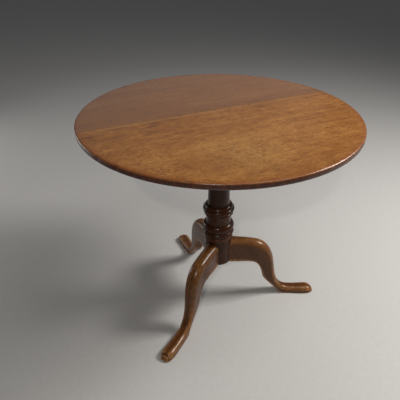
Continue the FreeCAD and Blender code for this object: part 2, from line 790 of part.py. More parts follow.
def brace_outline(name, azimuths, hub_radius, side_gap, low, high):
    """Three-armed or single-armed plate between two levels."""
    members = [rod(name + "_hub", hub_radius, high - low, (0, 0, low), "+Z")]
    half = dim("brace_arm_half_width") + side_gap
    for number, azimuth in enumerate(azimuths, start=1):
        arm = box("%s_arm_%d" % (name, number), (0, 0, 0),
                  (dim("brace_arm_reach"), half * 2, high - low))
        angle = math.radians(azimuth)
        place(arm, (half * math.sin(angle), -half * math.cos(angle), low),
              FreeCAD.Rotation(FreeCAD.Vector(0, 0, 1), azimuth))
        reach = dim("brace_arm_reach")
        tip = rod("%s_tip_%d" % (name, number), half, high - low,
                  (reach * math.cos(angle), reach * math.sin(angle), low), "+Z")
        members.extend([arm, tip])
    return union(name, members)


def build_leg(name, azimuth):
    """One leg with its dovetail, flat sole and housing for the brace."""
    scribe = rod("leg_scribe_" + name, dim("drum_radius") + gap, 200, (0, 0, 100), "+Z")
    below = box("leg_floor_" + name, (0, -100, -60), (500, 100, 0))
    housing = brace_outline("leg_housing_" + name, (0,), dim("brace_hub_radius"), gap * 2,
                            drum_base - dim("brace_thick") - 12, drum_base)
    carved = cut("leg_carved_" + name, leg_loft(name),
                 union("leg_waste_" + name, [scribe, below, housing]))
    tail = dovetail_shape("leg_tail_" + name, 0, as_size(0), as_size(0))
    joined = union("leg_joined_" + name, [carved, tail])
    pilot = rod("leg_pilot_" + name, dim("brace_screw_radius") + gap,
                dim("brace_screw_length") + gap * 3,
                (dim("brace_outer_screw_reach"), 0, drum_base - dim("brace_thick")), "+Z")
    leg = cut("leg_cut_" + name, joined, pilot)
    leg.Placement = FreeCAD.Placement(FreeCAD.Vector(), FreeCAD.Rotation(FreeCAD.Vector(0, 0, 1),
                                                                         azimuth))
    return leg


for leg_name, azimuth in LEGS:
    label(build_leg(leg_name, azimuth), "leg_" + leg_name)

# ---------------------------------------------------------------- iron brace and its screws
brace = brace_outline("brace_blank", [azimuth for _, azimuth in LEGS], dim("brace_hub_radius"),
                      as_size(0), drum_base - dim("brace_thick"), drum_base)
brace_holes = []
brace_screws = []
for leg_name, azimuth in LEGS:
    for place_name, reach in (("inner", dim("brace_inner_screw_reach")),
                              ("outer", dim("brace_outer_screw_reach"))):
        stem = "brace_screw_%s_%s" % (leg_name, place_name)
        spot = brace_screw_spot(reach, azimuth)
        brace_holes.append(screw_hole(stem + "_hole", dim("brace_screw_radius"),
                                      brace_head_radius, dim("brace_screw_length"), spot, "+Z"))
        brace_screws.append(screw(stem, dim("brace_screw_radius"), brace_head_radius,
                                  dim("brace_screw_length"), spot, "+Z", 0))
label(cut("brace_cut", brace, union("brace_openings", brace_holes)), "leg_brace_plate")
label(group("brace_screw_group", brace_screws), "brace_screws")

# ---------------------------------------------------------------- brass snap catch
plate_low = top_under - dim("catch_plate_thick")
plate_body = new_body("catch_plate_blank")
plate_sketch = attach_sketch(plate_body, "catch_plate_outline", "XY_Plane", plate_low)
rounded_rectangle(plate_sketch, (-dim("catch_plate_half_width"), dim("catch_plate_start")),
                  (dim("catch_plate_half_width"), catch_plate_end),
                  dim("catch_plate_corner"), dim("catch_plate_corner"))
pad(plate_body, plate_sketch, "catch_plate_pad", dim("catch_plate_thick"))
plate_holes = []
catch_screws = []
for number, spot in enumerate(catch_screw_spots, start=1):
    plate_holes.append(screw_hole("catch_hole_%d" % number, dim("catch_screw_radius"),
                                  catch_head_radius, dim("catch_screw_length"), spot, "+Z"))
    catch_screws.append(screw("catch_screw_%d" % number, dim("catch_screw_radius"),
                              catch_head_radius, dim("catch_screw_length"), spot, "+Z",
                              number % 2))
label(cut("catch_plate_cut", plate_body, union("catch_plate_openings", plate_holes)),
      "catch_plate")
label(group("catch_screw_group", catch_screws), "catch_screws")

case_half = dim("catch_case_half_width")
case_start = dim("catch_case_start")
case_end = case_start + dim("catch_case_length")
case_base = plate_low - dim("catch_case_depth")
cavity_gap = dim("bolt_clearance")
cavity = box("case_cavity",
             (-(dim("bolt_half_width") + cavity_gap), case_start - 1, bolt_base - cavity_gap),
             (dim("bolt_half_width") + cavity_gap, case_end - dim("catch_case_wall"),
              bolt_top + cavity_gap))
finger_half = dim("knob_shank_radius") + 0.4
finger_slot = box("case_finger_slot",
                  (-finger_half, dim("knob_position") - finger_half, case_base - 1),
                  (finger_half, dim("knob_position") + dim("bolt_travel") + finger_half,
                   bolt_base))
case_blank = box("case_blank", (-case_half, case_start, case_base),
                 (case_half, case_end, plate_low))
label(cut("case_cut", case_blank, union("case_openings", [cavity, finger_slot])), "catch_case")

bolt_body = new_body("bolt_blank")
bolt_sketch = attach_sketch(bolt_body, "bolt_outline", "YZ_Plane", -dim("bolt_half_width"))
profile_sketch(bolt_sketch, [
    (dim("bolt_nose"), bolt_top),
    (dim("bolt_nose"), bolt_base + dim("bolt_bevel")),
    (dim("bolt_nose") + dim("bolt_bevel"), bolt_base),
    (dim("bolt_tail"), bolt_base),
    (dim("bolt_tail"), bolt_top),
])
pad(bolt_body, bolt_sketch, "bolt_pad", dim("bolt_half_width") * 2)
knob_hole = rod("knob_hole", dim("knob_shank_radius") + gap, gap + 3,
                (0, dim("knob_position"), bolt_base), "+Z")
label(cut("bolt_cut", bolt_body, knob_hole), "catch_bolt")

shank = rod("knob_shank", dim("knob_shank_radius"), dim("knob_shank_length"),
            (0, dim("knob_position"), bolt_base + 3), "-Z")
collar_level = bolt_base + 3 - dim("knob_shank_length")
knob_neck = taper("knob_neck", dim("knob_radius") * 0.75, dim("knob_shank_radius"), 3,
                  (0, dim("knob_position"), collar_level - 1), "+Z")
ball = doc.addObject("Part::Sphere", "knob_ball")
bind(ball, "Radius", dim("knob_radius"))
place(ball, (0, dim("knob_position"), collar_level - 3.5))
label(union("knob_solid", [shank, knob_neck, ball]), "catch_knob")

spring_start = dim("bolt_tail") + dim("spring_wire_radius") + 0.1
spring_end = case_end - dim("catch_case_wall") - dim("spring_wire_radius") - 0.1
bolt_level = (bolt_top + bolt_base) * 0.5
coil = doc.addObject("Part::Helix", "spring_path")
bind(coil, "Radius", dim("spring_radius"))
bind(coil, "Pitch", dim("spring_pitch"))
bind(coil, "Height", spring_end - spring_start)
place(coil, (0, spring_start, bolt_level), TURN_TO["+Y"])
wire = doc.addObject("Part::Circle", "spring_wire")
bind(wire, "Radius", dim("spring_wire_radius"))
place(wire, (dim("spring_radius"), spring_start, bolt_level), TURN_TO["+Z"])
spring = doc.addObject("Part::Sweep", "spring_sweep")
spring.Sections = [wire]
spring.Spine = (coil, [])
spring.Solid = True
spring.Frenet = True
label(spring, "catch_spring")

# ---------------------------------------------------------------- check and write
doc.recompute()
for feature in doc.Objects:
    if "Invalid" in feature.State or "Error" in feature.State:
        raise RuntimeError("%s did not compute: %s" % (feature.Name, feature.State))

os.makedirs("parts", exist_ok=True)
for name, feature in nodes.items():
    shape = feature.Shape
    if shape.isNull() or not shape.isValid():
        raise RuntimeError("%s has no valid shape" % name)
    if not shape.Solids or shape.Volume <= 0:
        raise RuntimeError("%s holds no solid" % name)
    shape.exportStep("parts/%s.step" % name)
    limits = shape.optimalBoundingBox(False, False)
    print("%-22s solids %2d  volume %11.1f  x %7.1f..%7.1f  y %7.1f..%7.1f  z %6.1f..%6.1f" % (
        name, len(shape.Solids), shape.Volume, limits.XMin, limits.XMax,
        limits.YMin, limits.YMax, limits.ZMin, limits.ZMax))
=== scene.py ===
import math
import random

import bmesh
import bpy
from mathutils import Matrix, Vector, noise


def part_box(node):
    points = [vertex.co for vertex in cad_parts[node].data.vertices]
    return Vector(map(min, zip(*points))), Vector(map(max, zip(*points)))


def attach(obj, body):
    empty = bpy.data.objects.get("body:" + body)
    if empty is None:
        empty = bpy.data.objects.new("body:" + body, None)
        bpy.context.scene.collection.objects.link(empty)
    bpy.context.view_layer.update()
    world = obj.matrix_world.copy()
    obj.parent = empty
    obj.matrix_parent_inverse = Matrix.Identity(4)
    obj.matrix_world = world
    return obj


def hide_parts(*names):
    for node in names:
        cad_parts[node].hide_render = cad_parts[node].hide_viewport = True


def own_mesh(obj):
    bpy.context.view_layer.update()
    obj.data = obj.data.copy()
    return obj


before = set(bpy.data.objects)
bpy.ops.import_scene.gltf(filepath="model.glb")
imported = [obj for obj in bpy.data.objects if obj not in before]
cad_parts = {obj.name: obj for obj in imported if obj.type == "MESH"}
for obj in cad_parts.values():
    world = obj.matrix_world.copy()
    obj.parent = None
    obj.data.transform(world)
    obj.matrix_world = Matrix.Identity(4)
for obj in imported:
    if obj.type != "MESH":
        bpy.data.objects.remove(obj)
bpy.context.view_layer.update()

# Tilt top table: two waxed boards on a pivot block, a turned column and three cabriole legs.
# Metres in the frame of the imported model: +Z up, the grain of the top and the tilt axis along X.
MM = 0.001
RNG = random.Random(7)
front_low, front_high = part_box("top_board_front")
TOP_LEVEL = front_high.z
TOP_UNDER = front_low.z
TOP_RADIUS = front_high.x
JOINT_Y = front_high.y


# ---------------------------------------------------------------- mesh helpers
SHARP_ANGLE = 38  # degrees; a steeper edge is shaded as a crease
WELD = 2e-6
TINY = 1e-6
ON_PLANE = 1e-7
# In a softened piece, faces that differ by less than the first angle become one, and edges
# that turn by more than the second are rounded.
FLAT_ANGLE = math.radians(1.0)
BEVEL_ANGLE = math.radians(32)
BEVEL_SEGMENTS = 2
BEVEL_PROFILE = 0.6


def finish_mesh(bm, name, sharp_angle=SHARP_ANGLE):
    """Turn a bmesh into a smooth-shaded mesh with sharp creases over the given angle."""
    bmesh.ops.recalc_face_normals(bm, faces=bm.faces)
    mesh = bpy.data.meshes.new(name)
    bm.to_mesh(mesh)
    bm.free()
    mesh.shade_smooth()
    mesh.set_sharp_from_angle(angle=math.radians(sharp_angle))
    return mesh


def store_relief(mesh, passes):
    """Point attribute "relief": how sharply the surface bulges, per metre; hollows are below 0.

    Each pass evens it out with the neighbouring points.
    """
    bm = bmesh.new()
    bm.from_mesh(mesh)
    bm.normal_update()
    values = []
    near = []
    for vert in bm.verts:
        bends = []
        around = []
        for edge in vert.link_edges:
            other = edge.other_vert(vert)
            run = other.co - vert.co
            if run.length > TINY:
                bends.append(-2 * vert.normal.dot(run) / run.length_squared)
            around.append(other.index)
        values.append(sum(bends) / max(len(bends), 1))
        near.append(around)
    bm.free()
    for _ in range(passes):
        values = [0.5 * own + 0.5 * sum(values[i] for i in around) / max(len(around), 1)
                  for own, around in zip(values, near)]
    attribute = mesh.attributes.new("relief", "FLOAT", "POINT")
    attribute.data.foreach_set("value", values)


def add_piece(name, mesh, body, material, nodes, place=None):
    """Put a finished mesh in the scene as a piece that stands for the given CAD nodes."""
    obj = bpy.data.objects.new(name, mesh)
    bpy.context.scene.collection.objects.link(obj)
    if place is not None:
        obj.matrix_world = place
    mesh.materials.clear()
    mesh.materials.append(material)
    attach(obj, body)
    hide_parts(*nodes)
    return obj


def bridge_rings(bm, rings, close_ends=True):
    """Skin closed rings of vertices that all have the same count."""
    count = len(rings[0])
    for low, high in zip(rings, rings[1:]):
        for i in range(count):
            j = (i + 1) % count
            bm.faces.new((low[i], low[j], high[j], high[i]))
    if close_ends:
        bm.faces.new(list(reversed(rings[0])))
        bm.faces.new(rings[-1])


def softened(node, name, width, material, body):
    """A copy of a CAD node with merged flats and slightly rounded edges, standing for it."""
    bm = bmesh.new()
    bm.from_mesh(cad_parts[node].data)
    bmesh.ops.remove_doubles(bm, verts=bm.verts, dist=WELD)
    bmesh.ops.dissolve_limit(bm, angle_limit=FLAT_ANGLE, verts=bm.verts, edges=bm.edges,
                             use_dissolve_boundaries=False)
    bm.normal_update()
    if width:
        sharp = [edge for edge in bm.edges
                 if len(edge.link_faces) == 2 and edge.calc_face_angle(0) > BEVEL_ANGLE]
        bmesh.ops.bevel(bm, geom=sharp, offset=width, offset_type="OFFSET",
                        segments=BEVEL_SEGMENTS, profile=BEVEL_PROFILE, affect="EDGES",
                        clamp_overlap=True)
    mesh = finish_mesh(bm, name)
    return add_piece(name, mesh, body, material, [node])


# ---------------------------------------------------------------- material helpers
class Shade:
    """One principled material and short calls for building its node tree."""

    def __init__(self, name):
        self.material = bpy.data.materials.new(name)
        self.material.use_nodes = True
        self.tree = self.material.node_tree
        self.shader = self.tree.nodes["Principled BSDF"]
        self.coords = self.node("ShaderNodeTexCoord").outputs["Object"]

    def node(self, kind, settings=None, inputs=None):
        """A new node, with its settings and with values or links for its inputs."""
        made = self.tree.nodes.new(kind)
        for key, value in (settings or {}).items():
            setattr(made, key, value)
        for key, value in (inputs or {}).items():
            self.feed(made.inputs[key], value)
        return made

    def feed(self, socket, value):
        if isinstance(value, bpy.types.NodeSocket):
            self.tree.links.new(value, socket)
        elif value is not None:
            socket.default_value = value

    def stretch(self, vector, scale=(1, 1, 1), turn=(0, 0, 0), shift=(0, 0, 0)):
        return self.node("ShaderNodeMapping", None, {
            "Vector": vector, "Scale": scale, "Rotation": turn, "Location": shift}).outputs[0]

    def noise(self, vector, scale, detail=3.0, rough=0.55, warp=0.0):
        return self.node("ShaderNodeTexNoise", None, {
            "Vector": vector, "Scale": scale, "Detail": detail, "Roughness": rough,
            "Distortion": warp}).outputs[0]

    def math(self, operation, a, b=None, c=None):
        return self.node("ShaderNodeMath", {"operation": operation},
                         {0: a, 1: b, 2: c}).outputs[0]

    def add_swing(self, base, field, weight):
        """The base value plus a 0-1 field's swing about its middle, times the weight."""
        return self.math("MULTIPLY_ADD", self.math("SUBTRACT", field, 0.5), weight, base)

    def fit(self, value, low, high, to_low=0.0, to_high=1.0):
        """The value's range from low to high laid over another range, and clamped to it."""
        return self.node("ShaderNodeMapRange", {"clamp": True}, {
            "Value": value, "From Min": low, "From Max": high,
            "To Min": to_low, "To Max": to_high}).outputs[0]

    def blend(self, factor, a, b):
        made = self.node("ShaderNodeMix", {"data_type": "RGBA"})
        self.feed(made.inputs[0], factor)
        self.feed(made.inputs[6], a)
        self.feed(made.inputs[7], b)
        return made.outputs[2]

    def ramp(self, factor, stops):
        made = self.node("ShaderNodeValToRGB", None, {0: factor})
        elements = made.color_ramp.elements
        while len(elements) < len(stops):
            elements.new(0.5)
        for element, (position, colour) in zip(elements, stops):
            element.position = position
            element.color = colour
        return made.outputs[0]

    def relief(self):
        return self.node("ShaderNodeAttribute", {"attribute_name": "relief"}).outputs["Fac"]

    def nearness(self, distance, inside=False):
        """0 on open surface, towards 1 near a corner: hollow corners, or outer ones if inside."""
        made = self.node("ShaderNodeAmbientOcclusion", {"samples": 6, "inside": inside},
                         {"Distance": distance})
        return self.math("SUBTRACT", 1.0, made.outputs["AO"])

    def bump(self, height, distance, strength=1.0, normal=None):
        return self.node("ShaderNodeBump", None, {
            "Height": height, "Distance": distance, "Strength": strength,
            "Normal": normal}).outputs[0]

    def set(self, **inputs):
        for key, value in inputs.items():
            self.feed(self.shader.inputs[key.replace("_", " ")], value)
        return self.material


def rgb(red, green, blue):
    """Screen colour 0-255 as a linear colour with alpha."""
    def linear(value):
        value /= 255
        return value / 12.92 if value <= 0.04045 else ((value + 0.055) / 1.055) ** 2.4
    return (linear(red), linear(green), linear(blue), 1.0)


# Turns of the coordinates that lay the grain along an axis.
GRAIN_ALONG = {"X": (0, 0, 0), "Y": (0, 0, math.pi / 2), "Z": (0, math.pi / 2, 0)}
GRAIN_WANDER = 12 * MM
HOLLOW_RELIEF = (-25.0, -160.0)  # relief, per metre, at which dirt starts and is complete
# Reach of the ambient occlusion that paints shade into corners and between parts.
CORNER_SHADE_REACH = 14 * MM
FLECK_START = 0.26  # beyond this distance from the middle the dark flecks get denser
# The front board is paler towards its front edge, from the first level of Y to the second, and
# round a rubbed patch.
LEANT_FROM = -0.10
LEANT_TO = -0.34
RUBBED_MIDDLE = (-0.075, -0.27, TOP_LEVEL)
RUBBED_REACH = 0.15


def grain_coords(shade, turn, shift):
    """Coordinates whose X runs along the grain, with the slow wander of real grain."""
    flat = shade.stretch(shade.coords, turn=turn, shift=shift)
    sway = shade.noise(shade.stretch(flat, (1.7, 6.0, 6.0)), 1.0, 2.0)
    sway = shade.math("MULTIPLY", shade.math("SUBTRACT", sway, 0.5), GRAIN_WANDER * 2)
    offset = shade.node("ShaderNodeCombineXYZ", None, {"Y": sway, "Z": sway}).outputs[0]
    return shade.node("ShaderNodeVectorMath", {"operation": "ADD"},
                      {0: flat, 1: offset}).outputs[0]


def polished_wood(name, turn, shift, stops, grime_and_shade, figure, mottle, marks, pores=1.0,
                  roughness=0.30, coat=0.25, sheen=0.5, wear_and_light=None, top=False, strip=None):
    """Waxed old wood: broad figure, streaks, mottling, pores, dark marks, grime in hollows and
    painted shade in corners and between parts.

    The pale edge colour and the relief at which it starts and is complete: rubbed wear, and on the
    legs also a painted highlight that makes their rounded tops look lit.
    top adds the tones of the rim, and strip is the paler colour beside the joint of the boards.
    """
    shade = Shade(name)
    grain = grain_coords(shade, turn, shift)
    broad = shade.noise(shade.stretch(grain, (1.1, 13, 13)), 1.0, 3.0, 0.55, 0.3)
    streak = shade.noise(shade.stretch(grain, (3.5, 75, 75)), 1.0, 4.0, 0.6)
    hair = shade.noise(shade.stretch(grain, (13, 420, 420)), 1.0, 3.0, 0.6)
    patch = shade.noise(shade.stretch(grain, (26, 40, 40)), 1.0, 6.0, 0.70, 0.2)
    cloud = shade.noise(shade.coords, 5.0, 2.0, 0.5)
    tone = shade.add_swing(0.5, broad, 0.9 * figure)
    for field, weight in ((streak, 0.55 * figure), (hair, 0.5 * figure), (patch, 0.75 * mottle),
                          (cloud, 0.4 * mottle)):
        tone = shade.add_swing(tone, field, weight)
    if strip:
        colour = handled_tone(shade, tone, stops, cloud, strip)
    else:
        colour = shade.ramp(tone, stops)
    fleck_field = shade.noise(shade.stretch(grain, (100, 760, 760)), 1.0, 2.0, 0.55)
    if top:
        denser = shade.fit(distance_out(shade), FLECK_START, TOP_RADIUS, 0, 0.05)
        fleck_field = shade.math("ADD", fleck_field, denser)
    fleck = shade.fit(fleck_field, 0.54, 0.66, 0.0, 0.85 * marks)
    fleck = shade.math("MULTIPLY", fleck, shade.fit(cloud, 0.35, 0.6, 0.45, 1.0))
    colour = shade.blend(fleck, colour, stops[0][1])
    pore_field = shade.noise(shade.stretch(grain, (95, 1900, 1900)), 1.0, 1.0, 0.5)
    pore = shade.fit(pore_field, 0.56, 0.70)
    colour = shade.blend(shade.math("MULTIPLY", pore, 0.45 * pores), colour, stops[0][1])
    relief = shade.relief()
    rub = shade.noise(shade.coords, 90.0, 4.0, 0.65)
    if top:
        colour = rim_tone(shade, colour, rub)
    # Paler on bulging edges: rubbed wear, and on the legs also a painted highlight along their
    # tops.
    if wear_and_light:
        wear_and_light_colour, wear_and_light_from, wear_and_light_full = wear_and_light
        mask = shade.math("MULTIPLY", shade.fit(relief, wear_and_light_from, wear_and_light_full),
                          shade.fit(rub, 0.34, 0.62, 0.25, 0.85))
        colour = shade.blend(mask, colour, wear_and_light_colour)
    mask = shade.math("MULTIPLY", shade.fit(relief, *HOLLOW_RELIEF),
                      shade.fit(rub, 0.3, 0.6, 0.55, 0.95))
    # Painted shade: ambient occlusion darkens the wood where other surfaces are close, in corners
    # and where parts meet; it uses the same dark colour as the grime in hollows.
    painted_corner_shade = shade.fit(shade.nearness(CORNER_SHADE_REACH), 0.25, 0.85, 0.0, 0.8)
    colour = shade.blend(shade.math("MAXIMUM", mask, painted_corner_shade), colour, grime_and_shade)
    rough = shade.add_swing(roughness, patch, 0.22)
    rough = shade.add_swing(rough, rub, 0.12)
    rough = shade.math("MULTIPLY_ADD", pore, 0.12 * pores, rough)
    height = shade.math("MULTIPLY_ADD", pore, -0.5 * pores, hair)
    normal = shade.bump(height, 0.12 * MM, 0.6)
    normal = shade.bump(shade.noise(shade.coords, 28.0, 2.0, 0.5), 1.2 * MM, 0.12, normal)
    return shade.set(Base_Color=colour, Roughness=rough, Normal=normal, IOR=1.5,
                     Specular_IOR_Level=sheen, Coat_Weight=coat, Coat_Roughness=0.14)


def distance_out(shade):
    """How far a point is from the middle of the top, across the top."""
    return shade.node("ShaderNodeVectorMath", {"operation": "LENGTH"},
                      {0: shade.stretch(shade.coords, (1, 1, 0))}).outputs["Value"]


def handled_tone(shade, tone, stops, cloud, strip):
    """Wood that is paler where it is leant on and rubbed, and in a strip beside the joint."""
    across = shade.node("ShaderNodeSeparateXYZ", None, {0: shade.coords}).outputs["Y"]
    leant = shade.math("MULTIPLY", shade.fit(across, LEANT_FROM, LEANT_TO, 0.0, 0.20),
                       shade.fit(cloud, 0.3, 0.65, 0.5, 1.0))
    colour = shade.ramp(shade.math("ADD", tone, leant), stops)
    middle = shade.node("ShaderNodeVectorMath", {"operation": "DISTANCE"},
                        {0: shade.coords, 1: RUBBED_MIDDLE}).outputs["Value"]
    rubbed = shade.math("MULTIPLY", shade.fit(middle, RUBBED_REACH, 0.02),
                        shade.fit(shade.noise(shade.coords, 95.0, 5.0, 0.75), 0.42, 0.62))
    colour = shade.blend(shade.math("MULTIPLY", rubbed, 0.8), colour, rgb(164, 128, 74))
    beside = shade.fit(across, JOINT_Y - 21 * MM, JOINT_Y - 11 * MM, 0.0, 0.6)
    beside = shade.math("MULTIPLY", beside, shade.fit(cloud, 0.35, 0.6, 0.55, 1.0))
    return shade.blend(beside, colour, strip)


RIM_STOPS = ((0.30, rgb(42, 17, 12)), (0.52, rgb(66, 30, 19)), (0.72, rgb(96, 50, 30)))


def rim_tone(shade, colour, rub):
    """Redder towards the edge of the top, and dark with old polish down the rim."""
    level = shade.node("ShaderNodeSeparateXYZ", None, {0: shade.coords}).outputs["Z"]
    sway = shade.math("MULTIPLY", shade.math("SUBTRACT", rub, 0.5), 6 * MM)
    near = shade.fit(shade.math("ADD", distance_out(shade), sway),
                     TOP_RADIUS - 20 * MM, TOP_RADIUS - 2 * MM, 0, 0.6)
    colour = shade.blend(near, colour, rgb(120, 66, 36))
    drop = shade.math("ADD", level, shade.math("MULTIPLY", sway, 0.35))
    below = shade.fit(drop, TOP_LEVEL - 2.2 * MM, TOP_LEVEL - 5.0 * MM, 0.0, 0.93)
    return shade.blend(below, colour, shade.ramp(rub, RIM_STOPS))


def dry_wood(name, turn, shift, stops):
    """Unpolished wood under a table: saw and plane marks, stains, and dust with painted shade in
    the corners.
    """
    shade = Shade(name)
    grain = grain_coords(shade, turn, shift)
    broad = shade.noise(shade.stretch(grain, (1.5, 16, 16)), 1.0, 3.0, 0.55, 0.3)
    streak = shade.noise(shade.stretch(grain, (5, 130, 130)), 1.0, 4.0, 0.65)
    hair = shade.noise(shade.stretch(grain, (20, 650, 650)), 1.0, 3.0, 0.6)
    stain = shade.noise(shade.coords, 9.0, 4.0, 0.6, 0.5)
    tone = shade.add_swing(0.5, broad, 1.0)
    for field, weight in ((streak, 0.8), (hair, 0.5), (stain, 0.8)):
        tone = shade.add_swing(tone, field, weight)
    colour = shade.ramp(tone, stops)
    saw = shade.node("ShaderNodeTexWave", {"wave_type": "BANDS", "bands_direction": "X"}, {
        "Vector": shade.stretch(grain, (1, 0.25, 0.25)), "Scale": 48.0, "Distortion": 6.0,
        "Detail": 2.0, "Detail Scale": 1.2}).outputs["Fac"]
    pore = shade.fit(shade.noise(shade.stretch(grain, (80, 1700, 1700)), 1.0, 1.0), 0.56, 0.68)
    colour = shade.blend(shade.math("MULTIPLY", pore, 0.5), colour, stops[0][1])
    # Painted shade: ambient occlusion darkens corners and places next to other parts, together with
    # the dust there.
    corner = shade.fit(shade.nearness(20 * MM), 0.2, 0.8, 0.0, 0.75)
    colour = shade.blend(corner, colour, rgb(26, 18, 13))
    edge = shade.fit(shade.nearness(3 * MM, inside=True), 0.35, 0.8, 0.0, 0.55)
    colour = shade.blend(edge, colour, stops[-1][1])
    rough = shade.add_swing(0.62, stain, 0.25)
    normal = shade.bump(shade.math("MULTIPLY_ADD", pore, -0.6, hair), 0.25 * MM, 0.8)
    normal = shade.bump(saw, 0.3 * MM, 0.16, normal)
    return shade.set(Base_Color=colour, Roughness=rough, Normal=normal, IOR=1.48)


def old_metal(name, bright, tarnish, dirt_and_shade, metallic, rough_low, rough_high, scale):
    """Old handled metal: tarnish in clouds, fine scratches, dirt spots, dirt with painted shade in
    corners, rubbed edges.
    """
    shade = Shade(name)
    cloud = shade.noise(shade.coords, scale, 5.0, 0.62, 0.6)
    spots = shade.noise(shade.coords, scale * 5, 3.0, 0.6)
    scratch = shade.noise(shade.stretch(shade.coords, (300, 2600, 2600), (0, 0, 0.5)), 1.0, 2.0)
    mask = shade.fit(cloud, 0.38, 0.62)
    colour = shade.blend(mask, bright, tarnish)
    colour = shade.blend(shade.fit(spots, 0.58, 0.70, 0.0, 0.7), colour, dirt_and_shade)
    # Painted shade: ambient occlusion darkens corners, using the dirt colour.
    colour = shade.blend(shade.fit(shade.nearness(4 * MM), 0.2, 0.8, 0.0, 0.8), colour, dirt_and_shade)
    edge = shade.fit(shade.nearness(1.2 * MM, inside=True), 0.3, 0.8, 0.0, 0.8)
    colour = shade.blend(edge, colour, bright)
    rough = shade.math("MULTIPLY_ADD", mask, rough_high - rough_low, rough_low)
    rough = shade.add_swing(rough, scratch, 0.2)
    metal = shade.fit(spots, 0.60, 0.72, metallic, metallic * 0.4)
    normal = shade.bump(shade.math("ADD", spots, shade.math("MULTIPLY", scratch, 0.4)),
                        0.08 * MM, 0.6)
    return shade.set(Base_Color=colour, Roughness=rough, Metallic=metal, Normal=normal)


# ---------------------------------------------------------------- materials
FRONT_STOPS = ((0.18, rgb(92, 50, 20)), (0.42, rgb(134, 84, 36)), (0.56, rgb(150, 98, 44)),
               (0.80, rgb(172, 120, 60)))
REAR_STOPS = ((0.15, rgb(90, 52, 26)), (0.42, rgb(124, 80, 43)), (0.58, rgb(134, 89, 49)),
              (0.85, rgb(156, 108, 64)))
# The column is the legs' wood but gets darker colours: partly dirt, and partly painted shade for
# the shadow that the top casts on it.
TURNED_SHADED_STOPS = ((0.15, rgb(30, 13, 6)), (0.42, rgb(52, 26, 12)), (0.60, rgb(67, 36, 17)),
                (0.85, rgb(96, 56, 29)))
LEG_STOPS = ((0.15, rgb(44, 22, 9)), (0.42, rgb(72, 41, 17)), (0.60, rgb(90, 53, 23)),
             (0.85, rgb(122, 78, 38)))
DRY_STOPS = ((0.15, rgb(54, 34, 22)), (0.42, rgb(88, 58, 38)), (0.60, rgb(108, 74, 49)),
             (0.85, rgb(136, 98, 66)))
# The wedge is cut from lighter wood.
PALE_STOPS = tuple((place, (red * 1.35, green * 1.35, blue * 1.3, alpha))
                   for place, (red, green, blue, alpha) in DRY_STOPS)

front_wood = polished_wood("front_board_wood", GRAIN_ALONG["X"], (0.3, 0.7, 0.2), FRONT_STOPS,
                           figure=0.7, mottle=1.15, marks=1.1, grime_and_shade=rgb(38, 20, 13), top=True,
                           strip=rgb(168, 120, 66), coat=0.1, sheen=0.4)
rear_wood = polished_wood("rear_board_wood", GRAIN_ALONG["X"], (5.1, 3.2, 1.4), REAR_STOPS,
                          figure=0.6, mottle=0.65, marks=0.6, pores=0.7, roughness=0.27,
                          grime_and_shade=rgb(36, 20, 14), top=True)
column_wood = polished_wood("column_wood", GRAIN_ALONG["Z"], (2.2, 0.4, 0.9), TURNED_SHADED_STOPS,
                            figure=0.75, mottle=0.4, marks=0.4, roughness=0.22, coat=0.12,
                            sheen=0.15, wear_and_light=(rgb(118, 74, 46), 90.0, 420.0),
                            grime_and_shade=rgb(14, 7, 4))
# The legs' pale edge colour is partly wear and partly a painted highlight that lightens their
# rounded tops.
leg_wood = polished_wood("leg_wood", (0, math.radians(-58), 0), (3.3, 1.4, 0.2), LEG_STOPS,
                         figure=0.6, mottle=0.3, marks=0.25, roughness=0.28, coat=0.15,
                         sheen=0.26, wear_and_light=(rgb(178, 126, 74), 14.0, 58.0),
                         grime_and_shade=rgb(20, 10, 6))
underside_wood = dry_wood("underside_wood", GRAIN_ALONG["X"], (0.9, 1.6, 2.8), DRY_STOPS)
block_wood = dry_wood("block_wood", GRAIN_ALONG["X"], (1.2, 2.3, 0.4), DRY_STOPS)
bearer_wood = dry_wood("bearer_wood", GRAIN_ALONG["Y"], (4.2, 0.3, 2.4), DRY_STOPS)
wedge_wood = dry_wood("wedge_wood", GRAIN_ALONG["Z"], (0.2, 1.3, 3.4), PALE_STOPS)
brass = old_metal("aged_brass", rgb(196, 160, 92), rgb(128, 94, 48), rgb(48, 36, 20),
                  1.0, 0.26, 0.46, 160.0)
iron = old_metal("dark_iron", rgb(86, 82, 78), rgb(44, 40, 37), rgb(66, 40, 26),
                 0.75, 0.42, 0.62, 110.0)
screw_steel = old_metal("dull_screw_steel", rgb(128, 124, 118), rgb(72, 66, 60),
                        rgb(62, 42, 30), 0.9, 0.34, 0.55, 220.0)
spring_steel = old_metal("spring_steel", rgb(176, 176, 178), rgb(118, 116, 114),
                         rgb(70, 56, 44), 1.0, 0.25, 0.4, 300.0)

# ---------------------------------------------------------------- the two boards of the top
# Roundings of the rim, counts of points, and the depths of wear on the face and the rim.
UPPER_ROUND = 5.0 * MM
LOWER_ROUND = 6.0 * MM
FACE_RINGS = 26
UNDERSIDE_RINGS = 10
ROUND_STEPS = 7
RIM_STEPS = 640
FACE_DIP = 0.22 * MM
DIP_SCALE = 7.0
DIP_FADE = 30 * MM
RIM_RUB = 0.35 * MM
RUB_SCALE = 31.0
DENT_COUNT = 34
DENT_HALF_WIDTH = (6 * MM, 16 * MM)
DENT_DEPTH = (0.3 * MM, 1.1 * MM)
# Knocks along the rim: angle, half width and depth.
DENTS = [(RNG.uniform(0, math.tau), RNG.uniform(*DENT_HALF_WIDTH), RNG.uniform(*DENT_DEPTH))
         for _ in range(DENT_COUNT)]
# Distances from the joint of the extra cuts that keep its corners crisp.
JOINT_CUTS = (4.5 * MM, 0.6 * MM)
# How far each board's corners are eased at the joint, above and below.
JOINT_EASE = 0.35 * MM
UNDERSIDE_EASE = 0.3 * MM
# Faces that look down this steeply, this close to the underside, are dry wood.
FACING_DOWN = -0.9
DRY_DEPTH = 1.2 * MM


